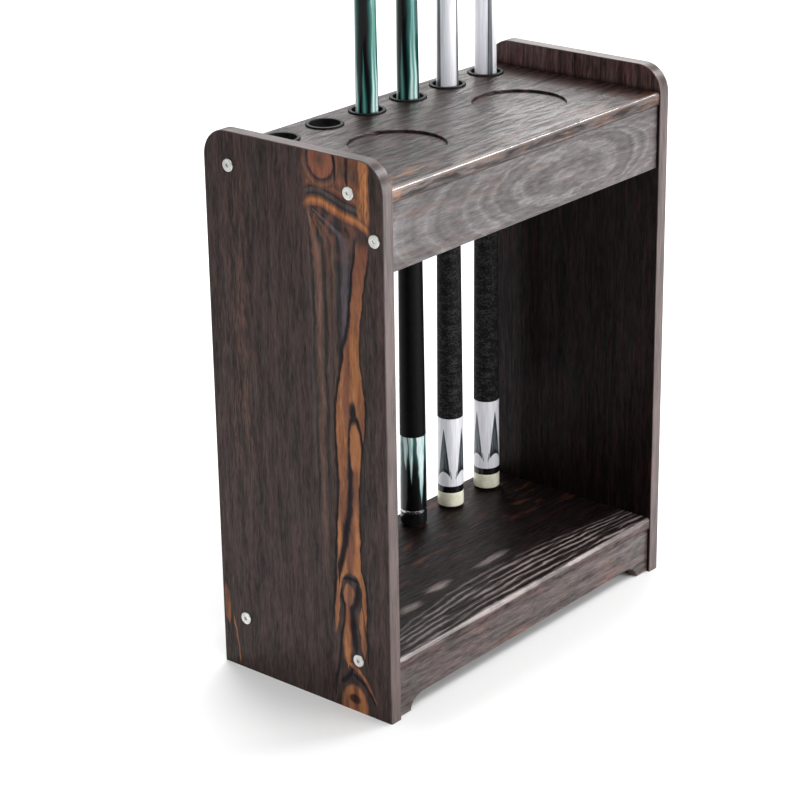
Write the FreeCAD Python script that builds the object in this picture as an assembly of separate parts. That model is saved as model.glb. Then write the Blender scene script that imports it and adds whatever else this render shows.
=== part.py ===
import FreeCAD, Part
import math
import os

# A wooden floor rack with two-piece pool cues standing in it, in millimetres.
# Origin: on the floor, under the middle of the rack. +X is the rack's right-hand side seen from
# the front, -Y its front, +Z up. A cue's own heights are counted from the bottom of its bumper.

# Rack
RACK_WIDTH = 480.0
RACK_DEPTH = 236.0
RACK_HEIGHT = 600.0
BOARD = 15.0                # thickness of every board and panel
EDGE_BAND = 1.0             # strip glued round each side panel
PANEL_CORNER = 30.0         # radius of the side panels' top corners
ARRIS = 0.7                 # softened edges of the strips
TOP_BOARD_TOP = 572.0
SHELF_TOP = 68.0
NOSE_SETBACK = 1.5          # top board and shelf stop this far behind the panels' front
NOSE_RADIUS = 4.0
EDGE_RADIUS = 1.0           # softened edges of the apron, the kick board and the recesses
APRON_SETBACK = 4.0
APRON_HEIGHT = 70.0
FOOT_CLEARANCE = 1.0        # kick board above the floor
FOOT_WIDTH = 21.0
ARCH_TOP = 15.5
ARCH_CURVE = 23.0           # length of the curve from a foot to the straight of the arch

# Cue holes and round recesses in the top board
HOLE_COUNT = 6
HOLE_PITCH = 67.8
HOLE_ROW_X = 13.0           # middle of the row
HOLE_ROW_Y = 89.0
SEAT_RADIUS = 18.0          # hole in the wood
GROMMET_BORE = 16.5
GROMMET_FLANGE = 20.5
GROMMET_FLANGE_HEIGHT = 2.0
GROMMET_ROUNDING = 1.0
GROMMET_DEPTH = 13.0        # of the sleeve, below the board's top
GLUE_GAP = 0.05
RECESS_RADIUS = 50.7
RECESS_DEPTH = 3.0
RECESS_LEFT_X = -97.0
RECESS_RIGHT_X = 106.0
RECESS_Y = -16.5

# Fasteners
SCREW_SHANK = 3.0
SCREW_HEAD = 6.9
SCREW_HEAD_HEIGHT = 1.4
SCREW_SOCKET = 2.3          # half the hexagon's width across its corners
SCREW_SOCKET_DEPTH = 1.1
SCREW_DEPTH = 20.0          # into the end of the board
SCREW_REAR_Y = 84.5
SCREW_FRONT_Y = -74.5
DOWEL_RADIUS = 4.0
DOWEL_UP = 10.0
DOWEL_DOWN = 14.0
DOWEL_SPACING = 150.0

# Cue, radii and heights
CUE_LENGTH = 1473.0
JOINT_HEIGHT = 736.5
BUMPER_HEIGHT = 3.0
BUMPER_STEM = 5.9
BUMPER_STEM_TOP = 13.0
TENON_BOTTOM = 14.0
TENON_RADIUS = 9.0
WRAP_TOP = 421.0
WRAP_THICKNESS = 1.0
BUTT_RADIUS = 15.4
HANDLE_RADIUS = 14.9        # at HANDLE_HEIGHT
HANDLE_HEIGHT = 121.0
WRAP_TOP_RADIUS = 13.1
JOINT_RADIUS = 10.5
WEIGHT_RADIUS = 6.3
WEIGHT_BOTTOM = 17.0
WEIGHT_TOP = 77.0
PIN_RADIUS = 4.75
PIN_ROOT = 4.2
PIN_THREAD_PITCH = 2.0
PIN_UP = 24.0               # out of the butt, into the shaft
PIN_DOWN = 30.0             # held in the butt
PIN_NOSE = 6.0
RUNNING_GAP = 0.05
COLLAR_HEIGHT = 12.0
COLLAR_BORE = 7.0
SHAFT_BUTT_RADIUS = 10.4
SHAFT_MIDDLE_RADIUS = 8.3
SHAFT_MIDDLE = 1050.0
SHAFT_THIN = 1200.0
SHAFT_THIN_RADIUS = 6.7
TIP_RADIUS = 6.4
TIP_HEIGHT = 6.0
TIP_DOME = 3.0
FERRULE_HEIGHT = 25.0
FERRULE_WALL_TOP = 5.0
FERRULE_TENON = 4.0

# Each cue: node prefix, number of its hole from the left, tops of its cap, ring and sleeve.
CUES = (
    ("teal_cue_1", 3, 18.0, 21.0, 112.0),
    ("teal_cue_2", 4, 18.0, 21.0, 112.0),
    ("white_cue_1", 5, 20.5, 28.5, 113.0),
    ("white_cue_2", 6, 20.5, 28.5, 113.0),
)

# Worked out from the above
HALF_WIDTH = RACK_WIDTH / 2
HALF_DEPTH = RACK_DEPTH / 2
INNER_X = HALF_WIDTH - BOARD
APRON_FRONT = -HALF_DEPTH + APRON_SETBACK
APRON_MIDDLE = APRON_FRONT + BOARD / 2
APRON_TOP = TOP_BOARD_TOP - BOARD
KICK_TOP = SHELF_TOP - BOARD
TIP_BOTTOM = CUE_LENGTH - TIP_HEIGHT
FERRULE_BOTTOM = TIP_BOTTOM - FERRULE_HEIGHT
UP = FreeCAD.Vector(0, 0, 1)


def save(name, shape):
    shape.exportStep("parts/" + name + ".step")


def block(x0, x1, y0, y1, z0, z1):
    return Part.makeBox(x1 - x0, y1 - y0, z1 - z0, FreeCAD.Vector(x0, y0, z0))


def rod(radius, start, axis, length):
    return Part.makeCylinder(radius, length, FreeCAD.Vector(*start), FreeCAD.Vector(*axis))


def upright_rod(radius, x, y, z0, z1):
    return rod(radius, (x, y, z0), (0, 0, 1), z1 - z0)


def turned(outline):
    """A solid of revolution about Z from (radius, height) corners."""
    corners = [FreeCAD.Vector(radius, 0, height) for radius, height in outline]
    face = Part.Face(Part.makePolygon(corners + corners[:1]))
    return face.revolve(FreeCAD.Vector(0, 0, 0), UP, 360)


def placed(shape, x, y, z):
    copy = shape.copy()
    copy.translate(FreeCAD.Vector(x, y, z))
    return copy


def soften(shape, radius, wanted):
    """Fillets the edges whose box passes the test."""
    return shape.makeFillet(radius, [edge for edge in shape.Edges if wanted(edge.BoundBox)])


def hole_x(number):
    return HOLE_ROW_X + (number - (HOLE_COUNT + 1) / 2) * HOLE_PITCH


# ---- Rack ----------------------------------------------------------------------------------


def screw_places():
    """Depth and height of the screws in a side panel."""
    top = TOP_BOARD_TOP - BOARD / 2
    shelf = SHELF_TOP - BOARD / 2
    apron = APRON_TOP - APRON_HEIGHT / 2
    return (
        (SCREW_REAR_Y, top),
        (SCREW_FRONT_Y, top),
        (APRON_MIDDLE, apron),
        (SCREW_REAR_Y, shelf),
        (SCREW_FRONT_Y, shelf),
    )


def screw(side, y, z):
    """A low-headed hexagon-socket screw; side is -1 for the left panel and 1 for the right."""
    face = side * HALF_WIDTH
    shank = rod(SCREW_SHANK, (face, y, z), (-side, 0, 0), BOARD + SCREW_DEPTH)
    head = rod(SCREW_HEAD, (face, y, z), (side, 0, 0), SCREW_HEAD_HEIGHT)
    head = soften(head, SCREW_HEAD_HEIGHT * 0.6, lambda box: abs(abs(box.XMin) - HALF_WIDTH) > 1)
    turns = [math.radians(60 * corner) for corner in range(7)]
    socket_face = face + side * SCREW_HEAD_HEIGHT
    corners = [
        FreeCAD.Vector(socket_face, y + SCREW_SOCKET * math.cos(a), z + SCREW_SOCKET * math.sin(a))
        for a in turns
    ]
    socket = Part.Face(Part.makePolygon(corners))
    socket = socket.extrude(FreeCAD.Vector(-side * SCREW_SOCKET_DEPTH, 0, 0))
    return shank.fuse(head).cut(socket).removeSplitter()


def screws(side):
    return Part.makeCompound([screw(side, y, z) for y, z in screw_places()])


def drilled(shape):
    """Cuts the screw holes of both sides."""
    reach = BOARD + SCREW_DEPTH + 1
    for side in (-1, 1):
        for y, z in screw_places():
            start = (side * (HALF_WIDTH + 0.5), y, z)
            shape = shape.cut(rod(SCREW_SHANK + GLUE_GAP, start, (-side, 0, 0), reach))
    return shape


def panel_outline(inset):
    """The side panel's outline in the YZ plane, drawn in by inset on its front, top and rear."""
    y = HALF_DEPTH - inset
    top = RACK_HEIGHT - inset
    radius = PANEL_CORNER - inset
    bend = radius * (1 - math.sqrt(0.5))

    def point(depth, height):
        return FreeCAD.Vector(0, depth, height)

    edges = [
        Part.LineSegment(point(-y, 0), point(-y, top - radius)),
        Part.Arc(point(-y, top - radius), point(-y + bend, top - bend), point(-y + radius, top)),
        Part.LineSegment(point(-y + radius, top), point(y - radius, top)),
        Part.Arc(point(y - radius, top), point(y - bend, top - bend), point(y, top - radius)),
        Part.LineSegment(point(y, top - radius), point(y, 0)),
        Part.LineSegment(point(y, 0), point(-y, 0)),
    ]
    return Part.Face(Part.Wire([edge.toShape() for edge in edges]))


def side_panel(x):
    panel = panel_outline(EDGE_BAND).extrude(FreeCAD.Vector(BOARD, 0, 0))
    return drilled(placed(panel, x, 0, 0))


def edge_band(x):
    """The strip round a panel's front, top and rear edges, with its outer edges softened."""
    outer = panel_outline(0).extrude(FreeCAD.Vector(BOARD, 0, 0))
    rounded = soften(outer, ARRIS, lambda box: box.ZMax > 1 and box.XLength < 0.01)
    band = rounded.cut(panel_outline(EDGE_BAND).extrude(FreeCAD.Vector(BOARD, 0, 0)))
    return placed(band, x, 0, 0)


def nosed_board(top):
    """A level board between the side panels with a rounded front edge."""
    front = -HALF_DEPTH + NOSE_SETBACK
    board = block(-INNER_X, INNER_X, front, HALF_DEPTH, top - BOARD, top)
    return soften(board, NOSE_RADIUS, lambda box: box.YMax < front + 0.01 and box.XLength > BOARD)


def dowel_places():
    return [(step * DOWEL_SPACING, APRON_MIDDLE) for step in (-1, 0, 1)]


def dowels(level):
    """Dowels standing across a joint at this height."""
    pegs = []
    for x, y in dowel_places():
        pegs.append(upright_rod(DOWEL_RADIUS, x, y, level - DOWEL_DOWN, level + DOWEL_UP))
    return Part.makeCompound(pegs)


def dowel_holes(shape, level):
    for x, y in dowel_places():
        bottom = level - DOWEL_DOWN - 1
        top = level + DOWEL_UP + 1
        shape = shape.cut(upright_rod(DOWEL_RADIUS + GLUE_GAP, x, y, bottom, top))
    return shape


def recess_rim(box):
    """The upper edge of a round recess."""
    return box.ZMin > TOP_BOARD_TOP - 0.01 and abs(box.YLength - 2 * RECESS_RADIUS) < 1


def top_board():
    board = nosed_board(TOP_BOARD_TOP)
    for number in range(1, HOLE_COUNT + 1):
        hole = upright_rod(SEAT_RADIUS, hole_x(number), HOLE_ROW_Y, APRON_TOP - 1, TOP_BOARD_TOP + 1)
        board = board.cut(hole)
    for x in (RECESS_LEFT_X, RECESS_RIGHT_X):
        floor = TOP_BOARD_TOP - RECESS_DEPTH
        board = board.cut(upright_rod(RECESS_RADIUS, x, RECESS_Y, floor, TOP_BOARD_TOP + 1))
    board = soften(board, EDGE_RADIUS, recess_rim)
    return drilled(dowel_holes(board, APRON_TOP))


def bottom_shelf():
    return drilled(dowel_holes(nosed_board(SHELF_TOP), KICK_TOP))


def front_apron():
    bottom = APRON_TOP - APRON_HEIGHT
    apron = block(-INNER_X, INNER_X, APRON_FRONT, APRON_FRONT + BOARD, bottom, APRON_TOP)
    apron = soften(apron, EDGE_RADIUS, lambda box: box.ZMax < bottom + 0.01 and box.XLength > BOARD)
    return drilled(dowel_holes(apron, APRON_TOP))


def arch_curve(side):
    """From the inner edge of a foot up to the straight top of the arch."""
    foot = side * (INNER_X - FOOT_WIDTH)
    end = foot - side * ARCH_CURVE
    poles = [
        FreeCAD.Vector(foot, 0, FOOT_CLEARANCE),
        FreeCAD.Vector(foot, 0, FOOT_CLEARANCE + (ARCH_TOP - FOOT_CLEARANCE) * 0.55),
        FreeCAD.Vector(foot - side * ARCH_CURVE * 0.4, 0, ARCH_TOP),
        FreeCAD.Vector(end, 0, ARCH_TOP),
    ]
    curve = Part.BezierCurve()
    curve.setPoles(poles)
    return curve.toShape(), poles[0], poles[-1]


def arch_edge(box):
    """An edge of the arch on the board's front or rear face."""
    inside = box.XMin > FOOT_WIDTH - INNER_X - 0.01 and box.XMax < INNER_X - FOOT_WIDTH + 0.01
    return inside and box.YLength < 0.01 and box.ZMax < ARCH_TOP + 0.01


def kick_board():
    """The board under the shelf's front, cut out below between two feet."""
    board = block(-INNER_X, INNER_X, APRON_FRONT, APRON_FRONT + BOARD, FOOT_CLEARANCE, KICK_TOP)
    left, left_foot, left_end = arch_curve(-1)
    right, right_foot, right_end = arch_curve(1)
    drop = FreeCAD.Vector(0, 0, -FOOT_CLEARANCE)
    edges = [
        left,
        Part.makeLine(left_end, right_end),
        right,
        Part.makeLine(right_foot, right_foot + drop),
        Part.makeLine(right_foot + drop, left_foot + drop),
        Part.makeLine(left_foot + drop, left_foot),
    ]
    arch = Part.Face(Part.Wire(Part.__sortEdges__(edges)))
    arch = placed(arch, 0, APRON_FRONT - 1, 0).extrude(FreeCAD.Vector(0, BOARD + 2, 0))
    board = soften(board.cut(arch), EDGE_RADIUS, arch_edge)
    return dowel_holes(board, KICK_TOP)


def grommet():
    """A flanged ring that lines one cue hole, with rounded flange edges."""
    top = GROMMET_FLANGE_HEIGHT
    turn = GROMMET_ROUNDING * (1 - math.sqrt(0.5))

    def point(radius, height):
        return FreeCAD.Vector(radius, 0, height)

    bore = GROMMET_BORE
    rim = GROMMET_FLANGE
    r = GROMMET_ROUNDING
    edges = [
        Part.makeLine(point(bore, -GROMMET_DEPTH), point(bore, top - r)),
        Part.Arc(point(bore, top - r), point(bore + turn, top - turn), point(bore + r, top)).toShape(),
        Part.makeLine(point(bore + r, top), point(rim - r, top)),
        Part.Arc(point(rim - r, top), point(rim - turn, top - turn), point(rim, top - r)).toShape(),
        Part.makeLine(point(rim, top - r), point(rim, 0)),
        Part.makeLine(point(rim, 0), point(SEAT_RADIUS - GLUE_GAP, 0)),
        Part.makeLine(point(SEAT_RADIUS - GLUE_GAP, 0), point(SEAT_RADIUS - GLUE_GAP, -GROMMET_DEPTH)),
        Part.makeLine(point(SEAT_RADIUS - GLUE_GAP, -GROMMET_DEPTH), point(bore, -GROMMET_DEPTH)),
    ]
    return Part.Face(Part.Wire(edges)).revolve(FreeCAD.Vector(0, 0, 0), UP, 360)


def grommets():
    ring = grommet()
    numbers = range(1, HOLE_COUNT + 1)
    return Part.makeCompound([placed(ring, hole_x(n), HOLE_ROW_Y, TOP_BOARD_TOP) for n in numbers])


# ---- Cue -----------------------------------------------------------------------------------


def butt_radius(height):
    """The butt's outer radius: thickest at the cap, tapering to the joint."""
    stations = (
        (BUMPER_HEIGHT, BUTT_RADIUS),
        (HANDLE_HEIGHT, HANDLE_RADIUS),
        (WRAP_TOP, WRAP_TOP_RADIUS),
        (JOINT_HEIGHT, JOINT_RADIUS),
    )
    for (low, low_radius), (high, high_radius) in zip(stations, stations[1:]):
        if height <= high:
            return low_radius + (high_radius - low_radius) * (height - low) / (high - low)
    return JOINT_RADIUS


def tube(bore, bottom, top):
    """A stretch of the butt's outside with a straight bore."""
    return turned([(bore, bottom), (butt_radius(bottom), bottom), (butt_radius(top), top), (bore, top)])


def bumper():
    foot = 12.6
    shoulder = 14.2
    return turned([
        (0, 0), (foot - 1.5, 0), (foot, 1.2), (shoulder, BUMPER_HEIGHT - 0.8), (shoulder, BUMPER_HEIGHT),
        (BUMPER_STEM, BUMPER_HEIGHT), (BUMPER_STEM, BUMPER_STEM_TOP), (0, BUMPER_STEM_TOP),
    ])


def butt_cap(top):
    """The end cap: a bore for the bumper's stem below, and a socket for the core's tenon above."""
    stem_bore = BUMPER_STEM + GLUE_GAP
    socket = TENON_RADIUS + GLUE_GAP
    chamfer = 0.8
    return turned([
        (stem_bore, BUMPER_HEIGHT), (BUTT_RADIUS - chamfer, BUMPER_HEIGHT),
        (BUTT_RADIUS, BUMPER_HEIGHT + chamfer), (butt_radius(top), top),
        (socket, top), (socket, TENON_BOTTOM), (stem_bore, TENON_BOTTOM),
    ])


def weight_bolt():
    slot_width = 1.6
    slot_depth = 2.5
    bolt = upright_rod(WEIGHT_RADIUS, 0, 0, WEIGHT_BOTTOM, WEIGHT_TOP)
    half = slot_width / 2
    reach = WEIGHT_RADIUS + 1
    return bolt.cut(block(-reach, reach, -half, half, WEIGHT_BOTTOM - 1, WEIGHT_BOTTOM + slot_depth))


def wrap(bottom):
    """A thin grip round the handle, flush with the sleeve and the forearm."""
    low = butt_radius(bottom)
    high = butt_radius(WRAP_TOP)
    skin = WRAP_THICKNESS - GLUE_GAP
    return turned([(low - skin, bottom), (low, bottom), (high, WRAP_TOP), (high - skin, WRAP_TOP)])


def forearm(sleeve_top):
    """Forearm and handle core in one length of wood, ending below in a tenon for the sleeve."""
    weight_bore = WEIGHT_RADIUS + GLUE_GAP
    pin_bore = PIN_RADIUS + GLUE_GAP
    pin_floor = JOINT_HEIGHT - PIN_DOWN - 1
    return turned([
        (weight_bore, TENON_BOTTOM), (TENON_RADIUS, TENON_BOTTOM), (TENON_RADIUS, sleeve_top),
        (butt_radius(sleeve_top) - WRAP_THICKNESS, sleeve_top),
        (butt_radius(WRAP_TOP) - WRAP_THICKNESS, WRAP_TOP), (butt_radius(WRAP_TOP), WRAP_TOP),
        (JOINT_RADIUS, JOINT_HEIGHT), (pin_bore, JOINT_HEIGHT), (pin_bore, pin_floor),
        (0, pin_floor), (0, WEIGHT_TOP + 1), (weight_bore, WEIGHT_TOP + 1),
    ])


def joint_pin():
    """A round-nosed pin with threads drawn as rings, four starts to each turn of the joint."""
    foot = JOINT_HEIGHT - PIN_DOWN
    head = JOINT_HEIGHT + PIN_UP
    outline = [(0, foot), (PIN_RADIUS, foot), (PIN_RADIUS, JOINT_HEIGHT)]
    threads = int((PIN_UP - PIN_NOSE) / PIN_THREAD_PITCH)
    for thread in range(threads):
        base = JOINT_HEIGHT + thread * PIN_THREAD_PITCH
        outline.append((PIN_ROOT, base + PIN_THREAD_PITCH * 0.35))
        outline.append((PIN_RADIUS, base + PIN_THREAD_PITCH * 0.7))
        outline.append((PIN_RADIUS, base + PIN_THREAD_PITCH))
    outline += [(PIN_ROOT, head - PIN_NOSE + 1), (PIN_ROOT - 1.2, head - 1), (PIN_ROOT - 2.2, head), (0, head)]
    return turned(outline)


def shaft_collar():
    """The ring at the shaft's joint end."""
    top = JOINT_HEIGHT + COLLAR_HEIGHT
    return turned([
        (COLLAR_BORE, JOINT_HEIGHT), (JOINT_RADIUS, JOINT_HEIGHT),
        (SHAFT_BUTT_RADIUS, top), (COLLAR_BORE, top),
    ])


def shaft():
    """The tapered shaft: bored for the pin below, with tenons for the collar and the ferrule."""
    shoulder = JOINT_HEIGHT + COLLAR_HEIGHT
    bore = PIN_RADIUS + RUNNING_GAP
    bore_top = JOINT_HEIGHT + PIN_UP + 2
    tenon = COLLAR_BORE - RUNNING_GAP
    tenon_top = TIP_BOTTOM - FERRULE_WALL_TOP
    return turned([
        (bore, JOINT_HEIGHT), (tenon, JOINT_HEIGHT), (tenon, shoulder), (SHAFT_BUTT_RADIUS, shoulder),
        (SHAFT_MIDDLE_RADIUS, SHAFT_MIDDLE), (SHAFT_THIN_RADIUS, SHAFT_THIN),
        (TIP_RADIUS, FERRULE_BOTTOM), (FERRULE_TENON, FERRULE_BOTTOM),
        (FERRULE_TENON, tenon_top), (0, tenon_top), (0, bore_top), (bore, bore_top),
    ])


def ferrule():
    bore = FERRULE_TENON + GLUE_GAP
    ceiling = TIP_BOTTOM - FERRULE_WALL_TOP
    return turned([
        (bore, FERRULE_BOTTOM), (TIP_RADIUS, FERRULE_BOTTOM), (TIP_RADIUS, TIP_BOTTOM),
        (0, TIP_BOTTOM), (0, ceiling), (bore, ceiling),
    ])


def tip():
    """A leather button with a domed top."""
    brim = CUE_LENGTH - TIP_DOME
    ball = (TIP_RADIUS ** 2 + TIP_DOME ** 2) / (2 * TIP_DOME)
    half_turn = math.asin(TIP_RADIUS / ball) / 2
    middle = FreeCAD.Vector(ball * math.sin(half_turn), 0, CUE_LENGTH - ball + ball * math.cos(half_turn))
    side = FreeCAD.Vector(TIP_RADIUS, 0, brim)
    crown = FreeCAD.Vector(0, 0, CUE_LENGTH)
    foot = FreeCAD.Vector(0, 0, TIP_BOTTOM)
    corner = FreeCAD.Vector(TIP_RADIUS, 0, TIP_BOTTOM)
    edges = [
        Part.makeLine(foot, corner),
        Part.makeLine(corner, side),
        Part.Arc(side, middle, crown).toShape(),
        Part.makeLine(crown, foot),
    ]
    return Part.Face(Part.Wire(edges)).revolve(FreeCAD.Vector(0, 0, 0), UP, 360)


def cue_pieces(cap_top, ring_top, sleeve_top):
    tenon_bore = TENON_RADIUS + GLUE_GAP
    return {
        "bumper": bumper(),
        "weight_bolt": weight_bolt(),
        "butt_cap": butt_cap(cap_top),
        "cap_ring": tube(tenon_bore, cap_top, ring_top),
        "butt_sleeve": tube(tenon_bore, ring_top, sleeve_top),
        "wrap": wrap(sleeve_top),
        "forearm": forearm(sleeve_top),
        "joint_pin": joint_pin(),
        "shaft_collar": shaft_collar(),
        "shaft": shaft(),
        "ferrule": ferrule(),
        "tip": tip(),
    }


# ---- The whole -----------------------------------------------------------------------------

os.makedirs("parts", exist_ok=True)

save("left_side_panel", side_panel(-HALF_WIDTH))
save("right_side_panel", side_panel(INNER_X))
save("panel_edge_bands", Part.makeCompound([edge_band(-HALF_WIDTH), edge_band(INNER_X)]))
save("top_board", top_board())
save("bottom_shelf", bottom_shelf())
save("front_apron", front_apron())
save("kick_board", kick_board())
save("cue_hole_grommets", grommets())
save("left_panel_screws", screws(-1))
save("right_panel_screws", screws(1))
save("apron_dowels", dowels(APRON_TOP))
save("kick_board_dowels", dowels(KICK_TOP))

for prefix, number, cap_top, ring_top, sleeve_top in CUES:
    for piece, shape in cue_pieces(cap_top, ring_top, sleeve_top).items():
        save(prefix + "_" + piece, placed(shape, hole_x(number), HOLE_ROW_Y, SHELF_TOP))
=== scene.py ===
import math

import bmesh
import bpy
from mathutils import Matrix, Vector


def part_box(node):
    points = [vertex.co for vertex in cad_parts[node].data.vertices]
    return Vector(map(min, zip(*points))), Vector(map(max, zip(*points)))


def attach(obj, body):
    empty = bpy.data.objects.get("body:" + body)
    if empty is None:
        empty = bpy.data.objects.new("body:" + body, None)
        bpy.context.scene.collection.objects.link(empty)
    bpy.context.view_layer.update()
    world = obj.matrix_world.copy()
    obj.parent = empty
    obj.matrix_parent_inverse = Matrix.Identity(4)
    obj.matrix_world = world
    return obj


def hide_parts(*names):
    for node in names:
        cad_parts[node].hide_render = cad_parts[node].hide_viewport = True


# A wooden floor rack with four two-piece pool cues in it, with its finishes and a studio.
# Lengths are in metres. +X is the rack's right, -Y its front and +Z up, as in the CAD frame.
# A cue's own coordinates start at the middle of its bumper's foot, with +Z along the cue.

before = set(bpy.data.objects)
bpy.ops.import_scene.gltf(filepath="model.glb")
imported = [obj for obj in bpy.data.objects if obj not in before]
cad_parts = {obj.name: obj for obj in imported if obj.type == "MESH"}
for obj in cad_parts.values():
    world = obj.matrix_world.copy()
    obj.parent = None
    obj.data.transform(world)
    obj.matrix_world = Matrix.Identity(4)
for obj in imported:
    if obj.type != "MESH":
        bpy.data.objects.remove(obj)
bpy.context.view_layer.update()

# ---- Places and sizes taken from the CAD nodes ----

TEAL_CUES = ("teal_cue_1", "teal_cue_2")
WHITE_CUES = ("white_cue_1", "white_cue_2")


def cue_foot(cue):
    """The middle of the bumper's foot."""
    low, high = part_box(cue + "_bumper")
    return Vector(((low.x + high.x) / 2, (low.y + high.y) / 2, low.z))


def cue_span(cue, piece):
    """Bottom and top of a cue's CAD node, counted from its foot."""
    low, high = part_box(f"{cue}_{piece}")
    foot = cue_foot(cue).z
    return low.z - foot, high.z - foot


# All four cues share these heights, so the first one is measured.
BUMPER_HEIGHT = cue_span(TEAL_CUES[0], "butt_cap")[0]
WRAP_TOP = cue_span(TEAL_CUES[0], "wrap")[1]
JOINT_HEIGHT, COLLAR_TOP = cue_span(TEAL_CUES[0], "shaft_collar")
FERRULE_BOTTOM, TIP_BOTTOM = cue_span(TEAL_CUES[0], "ferrule")
CUE_LENGTH = cue_span(TEAL_CUES[0], "tip")[1]
PANEL_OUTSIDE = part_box("right_side_panel")[1].x
BOARD_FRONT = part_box("top_board")[0].y      # the shelf's front edge is at the same place
TOP_BOARD_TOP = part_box("top_board")[1].z
SHELF_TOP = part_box("bottom_shelf")[1].z

# Radii, and heights inside a node, as in the CAD model.
BUMPER_RADIUS = 0.0142
BUTT_RADIUS = 0.0154
HANDLE_RADIUS = 0.0149
HANDLE_HEIGHT = 0.121       # where the butt begins to taper faster
WRAP_TOP_RADIUS = 0.0131
JOINT_RADIUS = 0.0105
PIN_BORE = 0.0048
PIN_REACH = 0.026           # depth of the pin's bore in the shaft
COLLAR_BORE = 0.007
SPIGOT_RADIUS = 0.00695     # the shaft's foot, inside the collar
SHAFT_BUTT_RADIUS = 0.0104
SHAFT_MIDDLE_RADIUS = 0.0083
SHAFT_MIDDLE = 1.05
SHAFT_THIN_RADIUS = 0.0067
SHAFT_THIN = 1.2
TIP_RADIUS = 0.0064
TIP_DOME = 0.003
# Where a visible piece is simpler or finer than the CAD one it stands for.
BUTT_BORE = 0.0091          # inside the ring, the sleeve and the wrap
CAP_BORE = 0.006
BUMPER_FOOT_RADIUS = 0.0108
BUMPER_DIMPLE_RADIUS = 0.005
BUMPER_DIMPLE_DEPTH = 0.0006
SHAFT_CLEARANCE = 0.00004   # the shaft turns a hair clear of its collar

# ---- Numbers that vary over a surface ----


class Field:
    """The output of a shader node, with ordinary arithmetic."""

    def __init__(self, tree, socket):
        self.tree = tree
        self.socket = socket

    def maths(self, operation, *others):
        node = self.tree.nodes.new("ShaderNodeMath")
        node.operation = operation
        for socket, value in zip(node.inputs, (self,) + others):
            feed(self.tree, socket, value)
        return Field(self.tree, node.outputs[0])

    def __add__(self, other):
        return self.maths("ADD", other)

    def __sub__(self, other):
        return self.maths("SUBTRACT", other)

    def __rsub__(self, other):
        return (self * -1) + other

    def __mul__(self, other):
        return self.maths("MULTIPLY", other)

    def __truediv__(self, other):
        return self.maths("DIVIDE", other)

    __radd__ = __add__
    __rmul__ = __mul__

    def size(self):
        return self.maths("ABSOLUTE")

    def square(self):
        return self.maths("MULTIPLY", self)

    def root(self):
        return self.maths("SQRT")

    def power(self, exponent):
        return self.maths("POWER", exponent)

    def fraction(self):
        return self.maths("FRACT")

    def whole(self):
        return self.maths("FLOOR")

    def highest(self, other):
        return self.maths("MAXIMUM", other)

    def step(self, start, end):
        """Rises smoothly from 0 at start to 1 at end."""
        node = self.tree.nodes.new("ShaderNodeMapRange")
        node.interpolation_type = "SMOOTHSTEP"
        for name, value in (("Value", self), ("From Min", start), ("From Max", end)):
            feed(self.tree, node.inputs[name], value)
        return Field(self.tree, node.outputs["Result"])

    def line(self, half_width):
        """1 where the field is 0, fading to 0 at half_width either side."""
        return self.size().step(half_width, 0)

    def curve(self, points):
        """A smooth curve through (field value, result) points."""
        starts = [start for start, _ in points]
        results = [result for _, result in points]
        first, span = min(starts), max(starts) - min(starts)
        lowest = min(results)
        rise = max(max(results) - lowest, 1e-9)     # never 0, so a level curve works too
        node = self.tree.nodes.new("ShaderNodeFloatCurve")
        line = node.mapping.curves[0]
        while len(line.points) < len(points):
            line.points.new(0.5, 0.5)
        for point, (start, result) in zip(line.points, sorted(points)):
            point.location = ((start - first) / span, (result - lowest) / rise)
        node.mapping.update()
        feed(self.tree, node.inputs["Value"], (self - first) / span)
        return Field(self.tree, node.outputs["Value"]) * rise + lowest


def feed(tree, socket, value):
    """Links a field to an input, or sets the input to a number or a colour."""
    if isinstance(value, Field):
        tree.links.new(value.socket, socket)
    elif isinstance(value, tuple) and len(value) == 3 and socket.type == "RGBA":
        socket.default_value = (*value, 1)
    else:
        socket.default_value = value


def rgb(red, green, blue):
    """A colour from the usual 0 to 255 values."""
    def linear(value):
        part = value / 255
        return part / 12.92 if part <= 0.04045 else ((part + 0.055) / 1.055) ** 2.4
    return linear(red), linear(green), linear(blue)


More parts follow.
